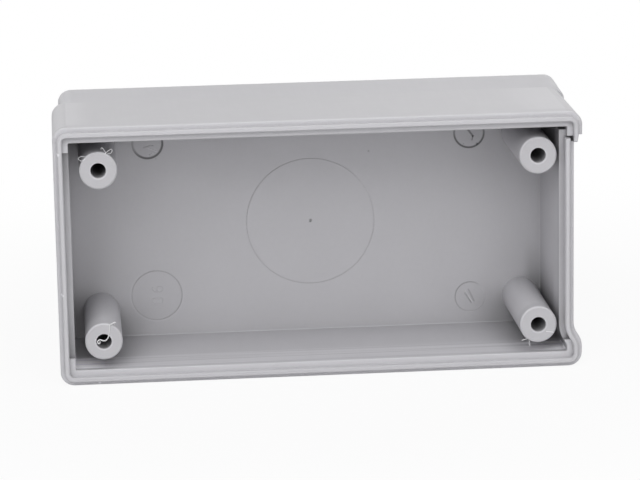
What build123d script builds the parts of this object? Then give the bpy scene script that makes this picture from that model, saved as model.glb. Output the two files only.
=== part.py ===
"""Two-part moulded housing for a small circuit: a deep base with four screw
posts, and the shallow cover that closes it, set down behind it back to back.

Millimetres. X runs along the long walls, Y from the base's opening to the
cover's opening, and Z is up. Both halves stand on a long wall, and the origin
is the middle of the rectangle that they cover on the table.
"""
import os
from math import acos, degrees

from build123d import *

# Outline that both halves share
length = 100.0
height = 49.8
corner_radius = 2.6
wall = 2.9
floor_thickness = 1.8
inner_corner_radius = 0.3
floor_radius = 0.2

# Depths, each from its own rim to its own back face
base_depth = 26.0
cover_depth = 14.0

# The right end wall steps in between its corners: squarely at the top, in a curve at the bottom
step_depth = 1.6
inner_step_depth = 1.35
square_step_drop = 6.6
step_radius = 4.2
step_corner_flat = 1.2
least_bend = 0.3
least_flat = 0.1

# Notch that bares the slanted side of the tongue beside the square step
notch_drop = 4.5
notch_height = 2.1
notch_slant = 0.25

# How far to the right of the base the cover stands, and its draft in degrees
cover_shift = 1.3
cover_draft = 2.0

# Rim of the base: outer ledge, raised tongue, inner ledge
ledge_width = 0.85
tongue_width = 0.9
tongue_height = 1.15
mating_clearance = 0.1

# The inner ledge lies deeper along both end walls, and the tongue has a gap at the square step
sunk_ledge_depth = 1.3
sunk_ledge_top_gap = 4.7
sunk_ledge_bottom_gap = 5.2
tongue_gap = 0.35

# Screw posts of the base, from the ends and the long walls to their axes
post_end_distance = 8.4
post_side_distance = 8.35
post_tip_diameter = 7.1
post_root_diameter = 7.2
post_tip_drop = 0.2
post_bore = 2.9
post_bore_depth = 18.0

# Screw holes of the cover
screw_clearance = 3.6
screw_head = 6.4

# Fine ring grooves that mould inserts and ejector pins leave on the floor
witness_width = 0.16
witness_depth = 0.1
centre_ring_diameter = 25.2
pin_ring_diameter = 6.0
pin_ring_end_distance = 18.4
pin_ring_side_distance = 8.3
insert_ring_diameter = 9.9
insert_ring_x = -30.6
insert_ring_z = -13.9
gate_diameter = 0.5
gate_depth = 0.3

# Broken edges
edge_break = 0.2
tongue_edge_break = 0.18
lip_edge_break = 0.12
post_edge_break = 0.25
bore_edge_break = 0.12

# Places of both halves, their posts and their rings
base_x = -cover_shift / 2
cover_x = cover_shift / 2
rim_y = (tongue_height - base_depth - cover_depth) / 2
back_y = rim_y + base_depth
cover_rim_y = back_y + cover_depth
base_floor_y = back_y - floor_thickness
cover_floor_y = back_y + floor_thickness
post_tip_y = rim_y + post_tip_drop
post_spacing_x = length - 2 * post_end_distance
post_spacing_z = height - 2 * post_side_distance
pin_ring_spacing_x = length - 2 * pin_ring_end_distance
pin_ring_spacing_z = height - 2 * pin_ring_side_distance


def front_plane(x, y):
    """Upright plane at mid height whose normal points to the base's opening."""
    return Plane(origin=(x, y, height / 2), x_dir=(1, 0, 0), z_dir=(0, -1, 0))


def rear_plane(x, y):
    """Upright plane at mid height whose normal points to the cover's opening."""
    return Plane(origin=(x, y, height / 2), x_dir=(-1, 0, 0), z_dir=(0, 1, 0))


def housing_face(inset=0.0, depth=step_depth, mode=Mode.ADD):
    """Outline of both halves, moved inwards by inset, whose right end steps in by depth."""
    half_length = length / 2 - inset
    half_height = height / 2 - inset
    radius = max(corner_radius - inset, inner_corner_radius)
    bend_in_radius = max(step_radius - inset, least_bend)
    bend_out_radius = step_radius + inset
    turn = degrees(acos(1 - depth / (bend_in_radius + bend_out_radius)))
    bend_start = min(height / 2 - corner_radius - step_corner_flat, half_height - radius - least_flat)
    step_level = height / 2 - square_step_drop + inset
    with BuildLine() as edge:
        left = Line((-half_length, half_height - radius), (-half_length, radius - half_height))
        lower_left = JernArc(left @ 1, left % 1, radius, 90)
        bottom = Line(lower_left @ 1, (half_length - radius, -half_height))
        lower_right = JernArc(bottom @ 1, bottom % 1, radius, 90)
        flat = Line(lower_right @ 1, (half_length, -bend_start))
        bend_in = JernArc(flat @ 1, flat % 1, bend_in_radius, turn)
        bend_out = JernArc(bend_in @ 1, bend_in % 1, bend_out_radius, -turn)
        Polyline(bend_out @ 1, (half_length - depth, step_level), (half_length, step_level))
        right = Line((half_length, step_level), (half_length, half_height - radius))
        upper_right = JernArc(right @ 1, right % 1, radius, 90)
        top = Line(upper_right @ 1, (radius - half_length, half_height))
        JernArc(top @ 1, top % 1, radius, 90)
    make_face(edge.edges(), mode=mode)


def notch_face():
    """Notch in the outer ledge beside the square step."""
    outside = length / 2 + step_depth
    tongue_side = length / 2 - ledge_width
    step_side = length / 2 - step_depth
    top = height / 2 - notch_drop
    shoulder = height / 2 - square_step_drop + ledge_width
    bottom = top - notch_height
    with BuildLine() as edge:
        Polyline((outside, top), (tongue_side, top), (tongue_side - notch_slant, shoulder),
                 (step_side, shoulder), (step_side, bottom), (outside, bottom), close=True)
    make_face(edge.edges())


def rim_band(outer_inset, inner_inset):
    """Closed band between two insets of the outline."""
    housing_face(outer_inset)
    housing_face(inner_inset, mode=Mode.SUBTRACT)


# Base shell
tongue_inner_inset = ledge_width + tongue_width
with BuildPart() as base:
    with BuildSketch(front_plane(base_x, back_y)):
        housing_face()
    extrude(amount=base_depth)
    rim_edges = base.edges().group_by(Axis.Y)[0]
    back_edges = base.edges().group_by(Axis.Y)[-1]
    chamfer(rim_edges + back_edges, edge_break)

    with BuildSketch(front_plane(base_x, rim_y)):
        housing_face(wall, inner_step_depth)
    extrude(amount=-(base_depth - floor_thickness), mode=Mode.SUBTRACT)
    cavity_edges = base.edges(Select.LAST)
    fillet(cavity_edges.group_by(Axis.Y)[-1], floor_radius)
    chamfer(cavity_edges.group_by(Axis.Y)[0], lip_edge_break)

    with BuildSketch(front_plane(base_x, rim_y)):
        rim_band(ledge_width, tongue_inner_inset)
    extrude(amount=tongue_height)
    chamfer(base.edges().group_by(Axis.Y)[0], tongue_edge_break)
    with BuildSketch(front_plane(base_x, back_y)):
        notch_face()
    extrude(amount=base_depth + tongue_height, mode=Mode.SUBTRACT)

    with BuildSketch(front_plane(base_x, rim_y)):
        housing_face(tongue_inner_inset)
        with Locations((0, height / 2)):
            Rectangle(length, 2 * sunk_ledge_top_gap, mode=Mode.SUBTRACT)
        with Locations((0, -height / 2)):
            Rectangle(length, 2 * sunk_ledge_bottom_gap, mode=Mode.SUBTRACT)
        with Locations((length / 2 - wall, height / 2 - wall)):
            Rectangle(2 * step_depth, sunk_ledge_top_gap - wall, align=(Align.MAX, Align.MAX))
    extrude(amount=-sunk_ledge_depth, mode=Mode.SUBTRACT)
    with BuildSketch(front_plane(base_x, rim_y - tongue_height)):
        with Locations((length / 2 - tongue_inner_inset, height / 2 - sunk_ledge_top_gap)):
            Rectangle(step_depth, tongue_gap, align=(Align.MAX, Align.MAX))
            Rectangle(step_depth - tongue_width, square_step_drop - ledge_width - sunk_ledge_top_gap,
                      align=(Align.MAX, Align.MAX))
    extrude(amount=-(tongue_height + sunk_ledge_depth), mode=Mode.SUBTRACT)

    with Locations(front_plane(base_x, base_floor_y)):
        with GridLocations(post_spacing_x, post_spacing_z, 2, 2):
            Cone(post_root_diameter / 2, post_tip_diameter / 2, base_floor_y - post_tip_y,
                 align=(Align.CENTER, Align.CENTER, Align.MIN))
    chamfer(base.edges(Select.LAST).group_by(Axis.Y)[0], post_edge_break)
    with Locations(front_plane(base_x, post_tip_y)):
        with GridLocations(post_spacing_x, post_spacing_z, 2, 2):
            Hole(post_bore / 2, post_bore_depth)
    chamfer(base.edges(Select.LAST).group_by(Axis.Y)[0], bore_edge_break)

    with BuildSketch(front_plane(base_x, base_floor_y)):
        Circle(centre_ring_diameter / 2 + witness_width / 2)
        Circle(centre_ring_diameter / 2 - witness_width / 2, mode=Mode.SUBTRACT)
        with Locations((-pin_ring_spacing_x / 2, pin_ring_spacing_z / 2),
                       (pin_ring_spacing_x / 2, pin_ring_spacing_z / 2),
                       (pin_ring_spacing_x / 2, -pin_ring_spacing_z / 2)):
            Circle(pin_ring_diameter / 2 + witness_width / 2)
            Circle(pin_ring_diameter / 2 - witness_width / 2, mode=Mode.SUBTRACT)
        with Locations((insert_ring_x, insert_ring_z)):
            Circle(insert_ring_diameter / 2 + witness_width / 2)
            Circle(insert_ring_diameter / 2 - witness_width / 2, mode=Mode.SUBTRACT)
    extrude(amount=-witness_depth, mode=Mode.SUBTRACT)
    with Locations(front_plane(base_x, base_floor_y)):
        Hole(gate_diameter / 2, gate_depth)

# Cover shell
with BuildPart() as cover:
    with BuildSketch(front_plane(cover_x, cover_rim_y)):
        housing_face()
    extrude(amount=cover_depth, taper=cover_draft)
    chamfer(cover.edges().group_by(Axis.Y)[0] + cover.edges().group_by(Axis.Y)[-1], edge_break)
    with BuildSketch(front_plane(cover_x, cover_rim_y)):
        notch_face()
    extrude(amount=cover_depth, mode=Mode.SUBTRACT)

    with BuildSketch(front_plane(cover_x, cover_rim_y)):
        housing_face(wall, inner_step_depth)
    extrude(amount=cover_depth - floor_thickness, mode=Mode.SUBTRACT)
    fillet(cover.edges(Select.LAST).group_by(Axis.Y)[0], floor_radius)

    with BuildSketch(front_plane(cover_x, cover_rim_y)):
        rim_band(ledge_width - mating_clearance, tongue_inner_inset + mating_clearance)
    extrude(amount=tongue_height + mating_clearance, mode=Mode.SUBTRACT)

    with Locations(rear_plane(cover_x, cover_floor_y)):
        with GridLocations(post_spacing_x, post_spacing_z, 2, 2):
            Cone(post_root_diameter / 2, post_tip_diameter / 2, cover_rim_y - cover_floor_y,
                 align=(Align.CENTER, Align.CENTER, Align.MIN))
    with Locations(front_plane(cover_x, back_y)):
        with GridLocations(post_spacing_x, post_spacing_z, 2, 2):
            CounterSinkHole(screw_clearance / 2, screw_head / 2, cover_depth)

base.part.label = "base_shell"
cover.part.label = "cover_shell"

os.makedirs("parts", exist_ok=True)
for shell in (base, cover):
    export_step(shell.part, f"parts/{shell.part.label}.step")
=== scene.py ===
"""Look of a two-part moulded housing in light grey plastic.

The deep base stands on a long wall with its opening towards the camera, and
the shallow cover stands behind it. Lengths are metres in the frame of the
part; MM turns a size given in millimetres into metres. Places on the base are
given across and up from the middle of its opening, and depth is measured
backwards from the plane of its rim.
"""
import math

import bpy
from mathutils import Matrix, Vector


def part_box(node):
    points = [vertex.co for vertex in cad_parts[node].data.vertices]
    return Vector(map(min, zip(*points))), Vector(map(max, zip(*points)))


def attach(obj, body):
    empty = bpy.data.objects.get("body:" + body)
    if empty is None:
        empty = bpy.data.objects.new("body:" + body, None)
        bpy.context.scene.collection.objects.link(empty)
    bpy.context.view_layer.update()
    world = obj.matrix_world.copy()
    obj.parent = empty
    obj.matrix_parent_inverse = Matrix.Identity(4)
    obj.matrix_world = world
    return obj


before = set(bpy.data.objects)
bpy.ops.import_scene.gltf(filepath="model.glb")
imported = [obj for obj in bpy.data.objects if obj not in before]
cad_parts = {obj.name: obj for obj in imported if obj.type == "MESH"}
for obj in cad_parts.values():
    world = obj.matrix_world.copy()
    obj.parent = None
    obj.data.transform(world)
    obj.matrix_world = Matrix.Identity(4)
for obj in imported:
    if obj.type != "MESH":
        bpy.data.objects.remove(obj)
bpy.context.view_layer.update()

MM = 0.001

# Base shell: its box comes from its own node, and the other sizes repeat those of the solid
base_low, base_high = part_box("base_shell")
TONGUE_HEIGHT = 1.15 * MM
FLOOR_THICKNESS = 1.8 * MM
WALL = 2.9 * MM
INNER_HALF_LENGTH = 47.1 * MM
SUNK_LEDGE_DEPTH = 1.3 * MM
BASE_X = (base_low.x + base_high.x) / 2
MIDDLE_Z = (base_low.z + base_high.z) / 2
RIM_Y = base_low.y + TONGUE_HEIGHT
BASE_FLOOR_Y = base_high.y - FLOOR_THICKNESS
POST_SPACING_X = 83.2 * MM
POST_SPACING_Z = 33.1 * MM
POST_TIP_DROP = 0.2 * MM
POST_TIP_RADIUS = 3.55 * MM
POST_EDGE_BREAK = 0.25 * MM
POST_BORE_RADIUS = 1.45 * MM
BORE_EDGE_BREAK = 0.12 * MM

# Rings on the floor of the base, drawn as painted shade and painted highlight along their grooves:
# across, up, diameter and line width in millimetres, how dark the line is on its faint and on its
# strong side, and where the strong side lies, in degrees anticlockwise from the right. Below
# nought, a darkness lightens, here and in the next tables.
FLOOR_RINGS = [
    (0.0, 0.0, 25.2, 0.20, -0.12, -0.03, 170),
    (-31.6, 16.6, 5.80, 0.44, 0.16, 0.68, -55),
    (31.6, 16.6, 5.85, 0.38, 0.24, 0.66, -90),
    (31.6, -16.6, 6.0, 0.28, -0.22, 0.12, 150),
    (-30.6, -13.9, 9.9, 0.24, -0.04, 0.08, 40),
    (-30.6, -13.9, 10.5, 0.30, 0.0, -0.07, -120),
]

# Specks on the floor: across, up and diameter in millimetres, and darkness
FLOOR_SPECKS = [
    (0.04, 0.16, 0.65, 0.55),
    (11.71, 13.62, 0.45, 0.30),
    (-30.02, 13.5, 0.30, 0.30),
    (33.15, 14.37, 0.55, 0.35),
    (30.5, 14.4, 0.35, 0.25),
    (-31.2, 14.35, 0.30, 0.35),
]

# Cavity numbers that the mould leaves on the floor, as strokes in millimetres
UPPER_LEFT_NUMBER = [
    [(-32.31, 15.81), (-31.5, 16.0), (-31.15, 16.23), (-30.5, 16.16)],
    [(-31.36, 15.64), (-30.53, 15.35), (-29.7, 14.92)],
    [(-31.5, 14.2), (-30.6, 14.65)],
]
UPPER_RIGHT_NUMBER = [[(31.6, 16.91), (31.95, 16.48), (32.4, 15.86), (32.2, 15.15)]]
LOWER_RIGHT_NUMBER = [[(30.75, -15.45), (32.05, -17.7)]]
LOWER_LEFT_NUMBER = [
    [(-31.2, -14.5), (-31.5, -14.8), (-31.5, -15.3), (-31.2, -15.6), (-29.8, -15.6),
     (-29.5, -15.3), (-29.5, -14.8), (-29.8, -14.5), (-31.2, -14.5)],
    [(-31.4, -12.2), (-31.5, -12.8), (-30.9, -13.3), (-29.9, -13.3), (-29.5, -12.9),
     (-29.5, -12.5), (-29.8, -12.2), (-30.3, -12.2), (-30.6, -12.5), (-30.6, -12.9),
     (-30.3, -13.3)],
]

# Raised strokes of the numbers: piece, strokes, thickness in millimetres, steps from point to point
CAVITY_NUMBERS = [
    ("upper_left_cavity_number", UPPER_LEFT_NUMBER, 0.16, 4),
    ("upper_right_cavity_number", UPPER_RIGHT_NUMBER, 0.20, 4),
    ("lower_right_cavity_number", LOWER_RIGHT_NUMBER, 0.44, 2),
    ("lower_left_cavity_number", LOWER_LEFT_NUMBER, 0.16, 4),
]

# Toned strokes beside and on the raised numbers, as painted shade beside them and painted highlight
# and shade on them: points and half width in millimetres, and darkness
FLOOR_STROKES = [
    (UPPER_LEFT_NUMBER[0], 0.20, 0.16),
    (UPPER_LEFT_NUMBER[1], 0.20, -0.14),
    (UPPER_LEFT_NUMBER[2], 0.20, -0.14),
    ([(31.5, 17.1), (31.95, 16.48), (32.35, 15.95)], 0.30, 0.50),
    ([(32.35, 15.95), (32.2, 15.15)], 0.18, 0.40),
    ([(30.57, -15.95), (31.77, -17.8)], 0.20, 0.26),
    ([(31.3, -15.2), (32.4, -17.5)], 0.20, 0.26),
    (LOWER_RIGHT_NUMBER[0], 0.24, -0.22),
]

# Bright nicks on the rim: across, up and diameter in millimetres, and how much paler they are
RIM_NICKS = [(-49.02, 20.08, 0.65), (-49.14, -6.99, 0.6), (-42.65, -24.45, 0.65)]
NICK_PALE = 0.45

# Up to where a mark is full and from where it is gone, as shares of a ring's line width, a
# speck's diameter and a stroke's half width
RING_FADE = (0.25, 0.75)
SPECK_FADE = (0.2, 0.6)
STROKE_FADE = (0.4, 1.0)
# The same away from the floor, and for nicks behind the rim
FLOOR_FADE = (0.15 * MM, 0.30 * MM)
NICK_FADE = (0.3 * MM, 0.6 * MM)
# How far from its middle a ring's line is still turning from faint to strong, by its radius
RING_TURN = 0.7

# Fine shavings that the drill left on the posts, as strokes in millimetres
UPPER_LEFT_CURLS = [
    [(-43.9, 19.25), (-44.5, 19.38), (-45.0, 19.24), (-45.28, 18.98), (-45.07, 18.75),
     (-44.6, 18.5), (-44.2, 18.7), (-44.0, 18.95)],
    [(-40.94, 20.62), (-40.76, 20.95), (-40.39, 20.5), (-40.13, 20.03), (-40.18, 19.7)],
    [(-40.18, 19.7), (-39.8, 20.15), (-39.39, 20.44), (-39.04, 20.58), (-38.84, 20.33),
     (-39.04, 19.92), (-39.33, 19.74), (-39.74, 19.78)],
]
LOWER_LEFT_HAIR = [
    [(-40.04, -13.1), (-40.37, -13.32), (-40.47, -14.16), (-40.63, -15.0), (-40.68, -15.43),
     (-40.87, -15.85), (-41.12, -16.18), (-41.45, -16.36), (-41.87, -16.30), (-42.22, -16.14),
     (-42.56, -16.20), (-42.78, -16.42), (-42.77, -16.70), (-42.57, -16.88), (-42.36, -16.66),
     (-42.40, -16.42)],
    [(-40.04, -13.1), (-39.6, -12.9), (-39.29, -12.83)],
]
LOWER_RIGHT_WHISKERS = [
    [(39.39, -19.34), (39.1, -19.39), (38.62, -19.53), (38.33, -19.63)],
    [(39.85, -19.65), (39.8, -20.41), (39.99, -20.68)],
]
TIP_SCRATCH = [[(43.09, -17.97), (44.28, -18.15), (44.51, -18.32)]]

# The shavings' pieces: name, strokes, how far behind the post tips they lie and how thick they
# are in millimetres, and steps from point to point
POST_SHAVINGS = [
    ("curls_on_upper_left_post", UPPER_LEFT_CURLS, 0.09, 0.10, 6),
    ("hair_on_lower_left_post", LOWER_LEFT_HAIR, -0.09, 0.23, 6),
    ("whiskers_on_lower_right_post", LOWER_RIGHT_WHISKERS, 0.18, 0.13, 6),
    ("burr_on_lower_right_post", TIP_SCRATCH, 0.0, 0.16, 4),
]
TUBE_SIDES = 8

# Camera, aimed at a point on the plane of the rim, with its lens in millimetres
CAMERA_AZIMUTH = math.radians(4.769)
CAMERA_ELEVATION = math.radians(13.2125)
CAMERA_ROLL = math.radians(-1.0275)
CAMERA_DISTANCE = 589.0 * MM
CAMERA_AIM = Vector((BASE_X - 0.175 * MM, RIM_Y, MIDDLE_Z + 1.739 * MM))
CAMERA_LENS = 174.99
CLIP_START = 0.01
CLIP_END = 20.0

# Softboxes round the part: name, azimuth and elevation in degrees, size in metres, watts
LAMP_DISTANCE = 0.9
LAMPS = [
    ("low_front_softbox", 0, 13, 1.0, 2.56),
    ("low_right_softbox", -30, 15, 0.6, 0.73),
    ("high_right_softbox", -30, 65, 0.6, 2.07),
    ("left_softbox", 30, 40, 0.6, 2.88),
    ("overhead_softbox", 0, 88, 0.6, 0.85),
    ("back_left_softbox", 150, 25, 0.8, 1.2),
    ("back_right_softbox", -150, 25, 0.8, 1.2),
]

# Floor of the studio: its glow hides all but a trace of shadow beside the part, and grows to
# plain white between two distances from the middle
FLOOR_HALF_WIDTH = 3.0
FLOOR_COLOUR = (0.86, 0.86, 0.87, 1.0)
WHITE = (1.0, 1.0, 1.0, 1.0)
NEAR_GLOW = 0.92
GLOW_GROWTH = (0.05, 0.18)

# Colours of the plastic
BASE_COLOUR = (0.581, 0.575, 0.598)
COVER_COLOUR = (0.586, 0.580, 0.606)
SHAVING_COLOUR = (0.84, 0.84, 0.85)

# Unevenness of the tone: its plain part, and how much each noise adds at what size. A small
# factor in FLOW_DRAW draws the noise out along that axis, as in MOULD_LINE_DRAW further down.
# From here on, a pair of values is where a ramp starts and where it ends.
PLAIN_TONE = 0.955
CLOUD_TONE = 0.04
CLOUD_SIZE = 9.0 * MM
SPECKLE_TONE = 0.02
SPECKLE_SIZE = 0.5 * MM
FLOW_TONE = 0.03
FLOW_SIZE = 0.8 * MM
FLOW_DRAW = (1.0, 0.04, 1.0)
FINE_DETAIL = 3.0

# Corners and hollows, darkened by painted shade: tone where least open, how far the openness looks,
# and its ramp to tone 1
CORNER_SHADE_TONE = 0.50
CORNER_REACH = 3.0 * MM
CORNER_OPENNESS = (0.05, 0.45)
HOLLOW_SHADE_TONE = 0.70
HOLLOW_REACH = 16.0 * MM
HOLLOW_OPENNESS = (0.10, 0.80)
OPENNESS_SAMPLES = 3

# Satin grain of the sparked mould
ROUGHNESS = 0.44
ROUGHNESS_SPREAD = 0.10
ROUGHNESS_PATCH = 3.0 * MM
GRAIN_SIZE = 0.22 * MM
GRAIN_DEPTH = 0.006 * MM
GRAIN_STRENGTH = 0.4
MOULD_LINE_RELIEF = 1.5
PLASTIC_IOR = 1.5

# Shine and tone of the shavings
SHAVING_ROUGHNESS = 0.35
SHAVING_TONE = 0.92
SHAVING_TONE_SPREAD = 0.16
SHAVING_PATCH = 0.6 * MM

# Broken edges, by how far their normal turns to the opening, and how deep the rim's edges reach;
# the base gets painted shade on them and the cover a painted highlight
EDGE_SLANT_FROM = (0.50, 0.62)
EDGE_SLANT_TO = (0.80, 0.92)
BASE_EDGE_PAINTED_SHADE = 0.05
COVER_EDGE_HIGHLIGHT = 0.04
RIM_BACK = (1.5 * MM, 2.5 * MM)

# How far to each side the inside of the shell reaches
END_WALL_FADE = (INNER_HALF_LENGTH, INNER_HALF_LENGTH + 0.4 * MM)

# Lower inner wall: mould lines in a band behind the rim, and painted light towards its ends, which
# lifts the shadow under the lower posts
MOULD_LINE_PALE = 0.50
MOULD_LINE_SIZE = 0.8 * MM
MOULD_LINE_DRAW = (0.012, 1.0, 0.2)
MOULD_LINE_CUT = (0.44, 0.60)
MOULD_LINE_ON_WALL = 0.35
MOULD_LINE_ON_PAINTED_LIGHT = 0.65
LIP_BAND_FRONT = (0.8 * MM, 2.0 * MM)
LIP_BAND_BACK = (7.0 * MM, 11.0 * MM)
LIP_WALL_FADE = (0.1 * MM, 0.4 * MM)
WALL_END_PAINTED_LIGHT = 0.36
WALL_END_LIGHT_RAMP = (37.0 * MM, 43.0 * MM)

# Painted shade on the rim: its tongue, darker still at the bottom and the right, its inner ledge at
# the top, and its sunk ledges towards their ends
TONGUE_SHADE = 0.06
TONGUE_BACK = (-0.6 * MM, -0.1 * MM)
LOWER_TONGUE = (-23.1 * MM, -22.6 * MM)
RIGHT_TONGUE = (47.6 * MM, 48.0 * MM)
INNER_LEDGE_SHADE = 0.10
INNER_LEDGE_FADE = (0.1 * MM, 0.3 * MM)
INNER_LEDGE_BOTTOM = (21.9 * MM, 22.1 * MM)
INNER_LEDGE_TOP = (23.1 * MM, 23.2 * MM)
SUNK_LEDGE_SHADE = 0.28
SUNK_LEDGE_FADE = (0.1 * MM, 0.4 * MM)
SUNK_LEDGE_SIDE = (INNER_HALF_LENGTH - 0.1 * MM, INNER_HALF_LENGTH + 0.1 * MM)
SUNK_LEDGE_ENDS = (9.0 * MM, 19.0 * MM)

# Cavity: painted light towards its ends and on the lower posts, painted shadow round those posts
CAVITY_START = (2.0 * MM, 4.0 * MM)
CAVITY_END_PAINTED_LIGHT = 0.10
CAVITY_LEFT_END = (-46.5 * MM, -42.0 * MM)
CAVITY_RIGHT_END = (36.0 * MM, 45.0 * MM)
LOWER_POST_PAINTED_LIGHT = 0.06
LOWER_POST_FADE = (POST_TIP_RADIUS + 0.1 * MM, POST_TIP_RADIUS + 0.3 * MM)
ROUND_POST_PAINTED_SHADOW = 0.24
ROUND_POST_FADE = (4.0 * MM, 12.0 * MM)
ROUND_POST_START = (6.0 * MM, 10.0 * MM)
BELOW_POSTS = (-21.0 * MM, -13.0 * MM)
RIGHT_OF_RIGHT_POST = (42.0 * MM, 44.0 * MM)
RIGHT_OF_LEFT_POST = (-44.0 * MM, -42.0 * MM)

# Post tips: painted highlights on the broken edges round the outside and, brighter still, round the
# bores
POST_EDGE_HIGHLIGHT = 0.18
POST_EDGE_RAMP = (POST_TIP_RADIUS - 1.3 * POST_EDGE_BREAK,
                  POST_TIP_RADIUS - 0.8 * POST_EDGE_BREAK)
BORE_EDGE_GAIN = 1.2
BORE_EDGE_RAMP = (POST_BORE_RADIUS + 1.2 * BORE_EDGE_BREAK,
                  POST_BORE_RADIUS + 2.8 * BORE_EDGE_BREAK)
POST_TIP_FADE = (POST_TIP_DROP + POST_EDGE_BREAK, POST_TIP_DROP + 2 * POST_EDGE_BREAK)


class Wire:
    """A node's output that takes part in Python expressions."""

    def __init__(self, graph, socket):
        self.graph = graph
        self.socket = socket

    def worked_out(self, operation, *terms):
        """The output of a Math node on wires and numbers."""
        return self.graph.node("ShaderNodeMath", {"operation": operation}, dict(enumerate(terms)))

    def __add__(self, other):
        return self.worked_out("ADD", self, other)

    def __radd__(self, other):
        return self.worked_out("ADD", other, self)

    def __sub__(self, other):
        return self.worked_out("SUBTRACT", self, other)

    def __rsub__(self, other):
        return self.worked_out("SUBTRACT", other, self)

    def __mul__(self, other):
        return self.worked_out("MULTIPLY", self, other)

    def __rmul__(self, other):
        return self.worked_out("MULTIPLY", other, self)

    def __truediv__(self, other):
        return self.worked_out("DIVIDE", self, other)

    def __rtruediv__(self, other):
        return self.worked_out("DIVIDE", other, self)

    def __pow__(self, other):
        return self.worked_out("POWER", self, other)

    def __rpow__(self, other):
        return self.worked_out("POWER", other, self)

    def __abs__(self):
        return self.worked_out("ABSOLUTE", self)

    def at_least(self, other):
        """The larger of the two."""
        return self.worked_out("MAXIMUM", self, other)


class Graph:
    """A node tree whose nodes all come from one method."""

    def __init__(self, tree):
        self.tree = tree
        self.tree.nodes.clear()

    def node(self, kind, settings=None, values=None, output=0):
        """Adds a node: its settings first, then the values or links of its sockets."""
        made = self.tree.nodes.new(kind)
        for name, value in (settings or {}).items():
            setattr(made, name, value)
        for name, value in (values or {}).items():
            if isinstance(value, Wire):
                self.tree.links.new(value.socket, made.inputs[name])
            else:
                made.inputs[name].default_value = value
        return Wire(self, made.outputs[output]) if len(made.outputs) else None


class Finish(Graph):
    """The node tree of one material, read in the part's own coordinates."""

    def __init__(self, name):
        self.material = bpy.data.materials.new(name)
        self.material.use_nodes = True
        super().__init__(self.material.node_tree)

    def place(self):
        """Where a point of the surface lies."""
        return self.node("ShaderNodeTexCoord", output="Object")

    def axes(self, place):
        """The X, Y and Z of a place or direction."""
        return [self.node("ShaderNodeSeparateXYZ", None, {0: place}, axis) for axis in "XYZ"]

    def stretched(self, place, factors):
        """The place with each axis scaled, which draws a pattern out along an axis."""
        return self.node("ShaderNodeVectorMath", {"operation": "MULTIPLY"}, {0: place, 1: factors})

    def noise(self, place, size, detail=2.0):
        """Cloudy noise from 0 to 1 whose clouds are about size across."""
        return self.node("ShaderNodeTexNoise", None,
                         {"Vector": place, "Scale": 1.0 / size, "Detail": detail}, "Fac")

    def rising(self, value, low, high):
        """0 at low, 1 at high, eased in between."""
        return self.node("ShaderNodeMapRange", {"interpolation_type": "SMOOTHSTEP"},
                         {"Value": value, "From Min": low, "From Max": high})

    def falling(self, value, low, high):
        """1 at low, 0 at high, eased in between."""
        return 1.0 - self.rising(value, low, high)

    def toned(self, colour, tone):
        """The colour made lighter or darker by a tone."""
        return self.node("ShaderNodeVectorMath", {"operation": "SCALE"}, {0: colour, "Scale": tone})

    def openness(self, reach):
        """1 on open surfaces, falling towards 0 in corners narrower than reach; it sets the painted
        corner shade.
        """
        settings = {"samples": OPENNESS_SAMPLES, "only_local": True}
        return self.node("ShaderNodeAmbientOcclusion", settings, {"Distance": reach}, "AO")

    def broken_edges(self):
        """1 on the narrow faces that slant halfway to the opening, where edge shade and highlight
        are painted.
        """
        normal = self.node("ShaderNodeNewGeometry", output="True Normal")
        slant = abs(self.axes(normal)[1])
        return self.rising(slant, *EDGE_SLANT_FROM) * self.falling(slant, *EDGE_SLANT_TO)

    def close(self, shader):
        """Ends the tree in a shader and gives the finished material."""
        self.node("ShaderNodeOutputMaterial", None, {"Surface": shader})
        return self.material


def distance_to(across, up):
    """Distance of a point from the place that its across and up are taken from."""
    return (across * across + up * up) ** 0.5


def painted_ring_shade(finish, across, up, ring):
    """How dark one fine ring makes the floor of the base: painted shade and painted highlight along
    its groove.
    """
    ring_across, ring_up, diameter, width, faint, strong, strong_side = ring
    radius = diameter / 2 * MM
    from_middle_x = across - ring_across * MM
    from_middle_z = up - ring_up * MM
    full, gone = (share * width * MM for share in RING_FADE)
    line = finish.falling(abs(distance_to(from_middle_x, from_middle_z) - radius), full, gone)
    turn = math.radians(strong_side)
    towards = (from_middle_x * math.cos(turn) + from_middle_z * math.sin(turn)) / radius
    return line * (faint + (strong - faint) * finish.rising(towards, -RING_TURN, RING_TURN))


def speck(finish, across, up, place_and_size):
    """1 on a small round speck."""
    speck_across, speck_up, diameter = place_and_size
    full, gone = (share * diameter * MM for share in SPECK_FADE)
    return finish.falling(distance_to(across - speck_across * MM, up - speck_up * MM), full, gone)


def straight_stroke(finish, across, up, start, end, half_width):
    """1 along a straight stroke, whose ends and half width are in millimetres."""
    half_length = math.dist(start, end) / 2 * MM
    turn = math.atan2(end[1] - start[1], end[0] - start[0])
    from_middle_x = across - (start[0] + end[0]) / 2 * MM
    from_middle_z = up - (start[1] + end[1]) / 2 * MM
    along = from_middle_x * math.cos(turn) + from_middle_z * math.sin(turn)
    aside = from_middle_z * math.cos(turn) - from_middle_x * math.sin(turn)
    full, gone = (share * half_width * MM for share in STROKE_FADE)
    return finish.falling(abs(aside).at_least(abs(along) - half_length), full, gone)


def bent_stroke(finish, across, up, points, half_width):
    """1 along a stroke of straight runs from point to point."""
    stroke = 0.0
    for start, end in zip(points, points[1:]):
        stroke = straight_stroke(finish, across, up, start, end, half_width).at_least(stroke)
    return stroke


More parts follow.
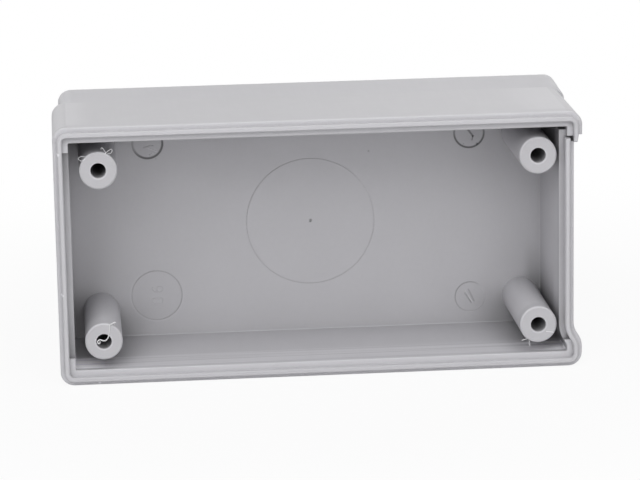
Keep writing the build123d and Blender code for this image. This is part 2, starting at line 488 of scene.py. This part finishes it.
def floor_specks_and_painted_shade(finish, across, up, depth_from_floor):
    """Darkening of the floor by its specks, and painted shade and painted highlight along its rings
    and beside its cavity numbers.
    """
    # The rings and strokes are painted shade and painted highlight; the specks are marks on the
    # plastic
    rings = sum(painted_ring_shade(finish, across, up, ring) for ring in FLOOR_RINGS)
    specks = sum(dark * speck(finish, across, up, place_and_size)
                 for *place_and_size, dark in FLOOR_SPECKS)
    # Painted shade beside the raised numbers, and painted highlight and shade on them
    strokes = sum(dark * bent_stroke(finish, across, up, points, half_width)
                  for points, half_width, dark in FLOOR_STROKES)
    return (rings + specks + strokes) * finish.falling(abs(depth_from_floor), *FLOOR_FADE)


def rim_nicks(finish, across, up, depth):
    """1 on the bright specks where the rim was knocked."""
    nicks = sum(speck(finish, across, up, nick) for nick in RIM_NICKS)
    return nicks * finish.falling(depth, *NICK_FADE)


def lip_wall_masks(finish, place, across, depth, height):
    """Fine lines that the mould drew along the lower inner wall, and painted light at its ends."""
    noise = finish.noise(finish.stretched(place, MOULD_LINE_DRAW), MOULD_LINE_SIZE)
    band = finish.rising(depth, *LIP_BAND_FRONT) * finish.falling(depth, *LIP_BAND_BACK)
    inside = finish.falling(abs(across), *END_WALL_FADE)
    on_wall = band * inside * finish.falling(abs(height - WALL), *LIP_WALL_FADE)
    # Painted light at the wall's ends, which lifts the shadow under the lower posts
    painted_light_at_wall_ends = on_wall * finish.rising(abs(across), *WALL_END_LIGHT_RAMP)
    strength = MOULD_LINE_ON_WALL * on_wall + MOULD_LINE_ON_PAINTED_LIGHT * painted_light_at_wall_ends
    return finish.rising(noise, *MOULD_LINE_CUT) * strength, painted_light_at_wall_ends


def painted_rim_shade(finish, across, up, depth):
    """Painted shade on the tongue, the inner ledge at the top and the ends of the sunk ledges."""
    tongue = finish.falling(depth, *TONGUE_BACK)
    lower_or_right = finish.falling(up, *LOWER_TONGUE) + finish.rising(across, *RIGHT_TONGUE)
    inner_ledge = finish.falling(abs(depth), *INNER_LEDGE_FADE) * (
        finish.rising(up, *INNER_LEDGE_BOTTOM) * finish.falling(up, *INNER_LEDGE_TOP))
    sunk_ledge = finish.falling(abs(depth - SUNK_LEDGE_DEPTH), *SUNK_LEDGE_FADE) * (
        finish.rising(abs(across), *SUNK_LEDGE_SIDE))
    ends = finish.rising(abs(up), *SUNK_LEDGE_ENDS)
    shade = TONGUE_SHADE * tongue * (1.0 + lower_or_right) + INNER_LEDGE_SHADE * inner_ledge
    return shade + SUNK_LEDGE_SHADE * ends * sunk_ledge


def painted_cavity_light_and_shade(finish, across, up, depth):
    """Painted shadow round the lower posts, less painted light on those posts and the cavity's
    ends.
    """
    ends = finish.rising(across, *CAVITY_RIGHT_END) + finish.falling(across, *CAVITY_LEFT_END)
    distance = distance_to(abs(across) - POST_SPACING_X / 2, up + POST_SPACING_Z / 2)
    post = finish.falling(distance, *LOWER_POST_FADE)
    below = finish.falling(up, *BELOW_POSTS)
    below_or_right = below.at_least(finish.rising(across, *RIGHT_OF_RIGHT_POST))
    shaded_part = finish.rising(depth, *ROUND_POST_START) * below_or_right * (
        finish.rising(across, *RIGHT_OF_LEFT_POST))
    round_post = finish.falling(distance, *ROUND_POST_FADE) * (1.0 - post) * shaded_part
    shade = ROUND_POST_PAINTED_SHADOW * round_post - LOWER_POST_PAINTED_LIGHT * post - CAVITY_END_PAINTED_LIGHT * ends
    inside = finish.falling(abs(across), *END_WALL_FADE)
    return shade * inside * finish.rising(depth, *CAVITY_START)


def painted_post_edge_highlights(finish, across, up, depth):
    """About 1 on the painted highlights on the broken edges round the post tips and their bores."""
    distance = distance_to(abs(across) - POST_SPACING_X / 2, abs(up) - POST_SPACING_Z / 2)
    outer = finish.rising(distance, *POST_EDGE_RAMP)
    bore = finish.falling(distance, *BORE_EDGE_RAMP)
    return (outer + BORE_EDGE_GAIN * bore) * finish.falling(depth, *POST_TIP_FADE)


def painted_corner_shade(finish, reach, darkest, openness, painted_light_at_wall_ends):
    """Tone of painted shade that sinks to darkest where corners within reach close in, but not
    where painted light lies at the wall's ends.
    """
    light = finish.rising(finish.openness(reach), *openness).at_least(painted_light_at_wall_ends)
    return darkest + (1.0 - darkest) * light


def moulded_tone_and_painted_shade(finish, place, painted_light_at_wall_ends=0.0):
    """Cloudy tone with fine specks and faint flow along the walls, and painted shade in narrow
    corners and hollows.
    """
    clouds = finish.noise(place, CLOUD_SIZE, FINE_DETAIL)
    speckle = finish.noise(place, SPECKLE_SIZE)
    flow = finish.noise(finish.stretched(place, FLOW_DRAW), FLOW_SIZE)
    cloudy = PLAIN_TONE + CLOUD_TONE * clouds + SPECKLE_TONE * speckle + FLOW_TONE * flow
    # Painted shade in narrow corners and in deep hollows
    corners = painted_corner_shade(finish, CORNER_REACH, CORNER_SHADE_TONE, CORNER_OPENNESS, painted_light_at_wall_ends)
    hollows = painted_corner_shade(finish, HOLLOW_REACH, HOLLOW_SHADE_TONE, HOLLOW_OPENNESS, painted_light_at_wall_ends)
    return cloudy * corners * hollows


def moulded_surface(finish, place, colour, tone, lines=0.0):
    """Satin surface with a fine sparked grain under the given tone."""
    roughness = ROUGHNESS + ROUGHNESS_SPREAD * finish.noise(place, ROUGHNESS_PATCH)
    relief = finish.noise(place, GRAIN_SIZE, FINE_DETAIL) + MOULD_LINE_RELIEF * lines
    normal = finish.node("ShaderNodeBump", None,
                         {"Height": relief, "Distance": GRAIN_DEPTH, "Strength": GRAIN_STRENGTH})
    shader = finish.node("ShaderNodeBsdfPrincipled", None,
                         {"Base Color": finish.toned(colour, tone), "Roughness": roughness,
                          "Normal": normal, "IOR": PLASTIC_IOR})
    return finish.close(shader)


def base_plastic():
    """Plastic of the base with the marks that its mould and its handling left, and painted light
    and shade on its rim, cavity, posts and floor.
    """
    finish = Finish("light_grey_polystyrene")
    place = finish.place()
    x, y, z = finish.axes(place)
    across, depth, up = x - BASE_X, y - RIM_Y, z - MIDDLE_Z
    lines, painted_light_at_wall_ends = lip_wall_masks(finish, place, across, depth, z)
    # Painted shade on the rim's broken edges
    rim_edge_shade_mask = finish.broken_edges() * finish.falling(depth, *RIM_BACK)
    specks_and_painted_floor_shade = floor_specks_and_painted_shade(finish, across, up, y - BASE_FLOOR_Y)
    # Mould lines and nicks are marks on the plastic; the wall's ends and the post edges get painted
    # light
    pale = (MOULD_LINE_PALE * lines + WALL_END_PAINTED_LIGHT * painted_light_at_wall_ends
            + POST_EDGE_HIGHLIGHT * painted_post_edge_highlights(finish, across, up, depth)
            + NICK_PALE * rim_nicks(finish, across, up, depth))
    # Painted shade on the rim's edges, on the rim and round the lower posts, less painted light in
    # the cavity
    shade = (BASE_EDGE_PAINTED_SHADE * rim_edge_shade_mask + painted_rim_shade(finish, across, up, depth)
             + painted_cavity_light_and_shade(finish, across, up, depth))
    tone = moulded_tone_and_painted_shade(finish, place, painted_light_at_wall_ends) * (1.0 - specks_and_painted_floor_shade) * (1.0 + pale - shade)
    return moulded_surface(finish, place, BASE_COLOUR, tone, lines)


def cover_plastic():
    """Plastic of the cover, a shade lighter, with a painted highlight on its broken edges."""
    finish = Finish("pale_grey_polystyrene")
    place = finish.place()
    # Painted highlight on the cover's broken edges
    tone = moulded_tone_and_painted_shade(finish, place) * (1.0 + COVER_EDGE_HIGHLIGHT * finish.broken_edges())
    return moulded_surface(finish, place, COVER_COLOUR, tone)


def shaved_plastic():
    """Pale and shinier plastic of the thin shavings."""
    finish = Finish("pale_plastic_shaving")
    tone = SHAVING_TONE + SHAVING_TONE_SPREAD * finish.noise(finish.place(), SHAVING_PATCH)
    shader = finish.node("ShaderNodeBsdfPrincipled", None,
                         {"Base Color": finish.toned(SHAVING_COLOUR, tone),
                          "Roughness": SHAVING_ROUGHNESS})
    return finish.close(shader)


def studio_floor():
    """Pale floor that keeps a faint shadow and otherwise shows white to the camera."""
    finish = Finish("studio_floor")
    seen = finish.node("ShaderNodeLightPath", output="Is Camera Ray")
    mirrored = finish.node("ShaderNodeLightPath", output="Is Glossy Ray")
    matte = finish.node("ShaderNodeBsdfDiffuse", None, {"Color": FLOOR_COLOUR})
    glow = finish.node("ShaderNodeEmission", None, {"Color": WHITE, "Strength": 1.0})
    x, y, _ = finish.axes(finish.place())
    glow_share = NEAR_GLOW + (1.0 - NEAR_GLOW) * finish.rising(distance_to(x, y), *GLOW_GROWTH)
    shader = finish.node("ShaderNodeMixShader", None,
                         {0: glow_share * (seen + mirrored), 1: matte, 2: glow})
    return finish.close(shader)


def add_object(name, data):
    """Puts new data into the scene as an object of the given name."""
    made = bpy.data.objects.new(name, data)
    bpy.context.scene.collection.objects.link(made)
    return made


def add_floor():
    """Wide flat floor under the part."""
    half = FLOOR_HALF_WIDTH
    corners = [(-half, -half, 0), (half, -half, 0), (half, half, 0), (-half, half, 0)]
    mesh = bpy.data.meshes.new("studio_floor")
    mesh.from_pydata(corners, [], [(0, 1, 2, 3)])
    mesh.materials.append(studio_floor())
    floor = add_object("studio_floor", mesh)


def tube_tree(material):
    """Geometry nodes: smooth closed tubes of one thickness along poly-lines."""
    tree = bpy.data.node_groups.new("tube_along_points", "GeometryNodeTree")
    new_socket = tree.interface.new_socket
    new_socket("Geometry", in_out="INPUT", socket_type="NodeSocketGeometry")
    thickness = new_socket("Thickness", in_out="INPUT", socket_type="NodeSocketFloat")
    steps = new_socket("Steps", in_out="INPUT", socket_type="NodeSocketInt")
    new_socket("Geometry", in_out="OUTPUT", socket_type="NodeSocketGeometry")
    graph = Graph(tree)
    points, width, fineness = (graph.node("NodeGroupInput", output=given)
                               for given in ("Geometry", "Thickness", "Steps"))
    line = graph.node("GeometryNodeMeshToCurve", None, {"Mesh": points})
    smooth = graph.node("GeometryNodeCurveSplineType", {"spline_type": "CATMULL_ROM"},
                        {"Curve": line})
    fine = graph.node("GeometryNodeSetSplineResolution", None,
                      {"Geometry": smooth, "Resolution": fineness})
    section = graph.node("GeometryNodeCurvePrimitiveCircle", None,
                         {"Resolution": TUBE_SIDES, "Radius": width / 2}, "Curve")
    tube = graph.node("GeometryNodeCurveToMesh", None,
                      {"Curve": fine, "Profile Curve": section, "Fill Caps": True})
    solid = graph.node("GeometryNodeRealizeInstances", None, {"Geometry": tube})
    finished = graph.node("GeometryNodeSetMaterial", None,
                          {"Geometry": solid, "Material": material})
    graph.node("NodeGroupOutput", None, {"Geometry": finished})
    return tree, thickness.identifier, steps.identifier


def add_tubes(name, strokes, thickness, steps, material):
    """Tubes along strokes, each a list of points in metres, as one piece of the part."""
    points = [point for stroke in strokes for point in stroke]
    edges = []
    first = 0
    for stroke in strokes:
        edges += [(first + i, first + i + 1) for i in range(len(stroke) - 1)]
        first += len(stroke)
    mesh = bpy.data.meshes.new(name + "_lines")
    mesh.from_pydata(points, edges, [])
    lines = add_object(name + "_lines", mesh)
    tree, thickness_input, steps_input = tube_tree(material)
    modifier = lines.modifiers.new("tubes", "NODES")
    modifier.node_group = tree
    modifier[thickness_input] = thickness
    modifier[steps_input] = steps
    evaluated = lines.evaluated_get(bpy.context.evaluated_depsgraph_get())
    made = bpy.data.meshes.new_from_object(evaluated)
    made.name = name
    bpy.data.objects.remove(lines)
    bpy.data.node_groups.remove(tree)
    piece = add_object(name, made)
    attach(piece, "root")


def on_base(strokes, depth):
    """Strokes given across and up in millimetres, laid at one depth behind the rim."""
    return [[(BASE_X + across * MM, RIM_Y + depth, MIDDLE_Z + up * MM) for across, up in stroke]
            for stroke in strokes]


def add_cavity_numbers(material):
    """Raised strokes of the mould's cavity numbers on the floor of the base."""
    for name, strokes, thickness, steps in CAVITY_NUMBERS:
        add_tubes(name, on_base(strokes, BASE_FLOOR_Y - RIM_Y), thickness * MM, steps, material)


def add_shavings():
    """Hairs and burrs that the drill left on three of the posts."""
    material = shaved_plastic()
    for name, strokes, behind_tip, thickness, steps in POST_SHAVINGS:
        depth = POST_TIP_DROP + behind_tip * MM
        add_tubes(name, on_base(strokes, depth), thickness * MM, steps, material)


def dress_shell(node, plastic):
    """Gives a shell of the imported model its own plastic."""
    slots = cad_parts[node].data.materials
    slots.clear()
    slots.append(plastic)


def look(azimuth, elevation):
    """Unit vector of a line of sight; azimuth 0 looks along +Y."""
    level = math.cos(elevation)
    return Vector((math.sin(azimuth) * level, math.cos(azimuth) * level, -math.sin(elevation)))


def standing_back(aim, line_of_sight, distance):
    """Place and turn of a camera or lamp that looks at aim from a distance."""
    turn = line_of_sight.to_track_quat("-Z", "Y").to_matrix().to_4x4()
    return Matrix.Translation(aim - line_of_sight * distance) @ turn


def add_camera():
    """Camera at the photograph's viewing angle."""
    lens = bpy.data.cameras.new("camera")
    lens.lens = CAMERA_LENS
    lens.clip_start = CLIP_START
    lens.clip_end = CLIP_END
    camera = add_object("camera", lens)
    level = standing_back(CAMERA_AIM, look(CAMERA_AZIMUTH, CAMERA_ELEVATION), CAMERA_DISTANCE)
    camera.matrix_world = level @ Matrix.Rotation(CAMERA_ROLL, 4, "Z")
    bpy.context.scene.camera = camera


def add_softbox(name, azimuth, elevation, size, power):
    """Square lamp that faces the part from an azimuth and elevation in degrees."""
    lamp = bpy.data.lights.new(name, "AREA")
    lamp.shape = "SQUARE"
    lamp.size = size
    lamp.energy = power
    box = add_object(name, lamp)
    middle = Vector((0, 0, MIDDLE_Z))
    towards = look(math.radians(azimuth), math.radians(elevation))
    box.matrix_world = standing_back(middle, towards, LAMP_DISTANCE)


def add_world():
    """World that gives no light but shows white to the camera and in gloss."""
    world = bpy.data.worlds.new("studio")
    world.use_nodes = True
    bpy.context.scene.world = world
    graph = Graph(world.node_tree)
    seen = graph.node("ShaderNodeLightPath", output="Is Camera Ray")
    mirrored = graph.node("ShaderNodeLightPath", output="Is Glossy Ray")
    dark = graph.node("ShaderNodeBackground", None, {"Color": WHITE, "Strength": 0.0})
    white = graph.node("ShaderNodeBackground", None, {"Color": WHITE, "Strength": 1.0})
    mixed = graph.node("ShaderNodeMixShader", None, {0: seen.at_least(mirrored), 1: dark, 2: white})
    graph.node("ShaderNodeOutputWorld", None, {"Surface": mixed})


bpy.context.scene.view_settings.view_transform = "Standard"
add_camera()
for softbox in LAMPS:
    add_softbox(*softbox)
add_world()
add_floor()

plastic_of_base = base_plastic()
dress_shell("base_shell", plastic_of_base)
dress_shell("cover_shell", cover_plastic())
add_cavity_numbers(plastic_of_base)
add_shavings()
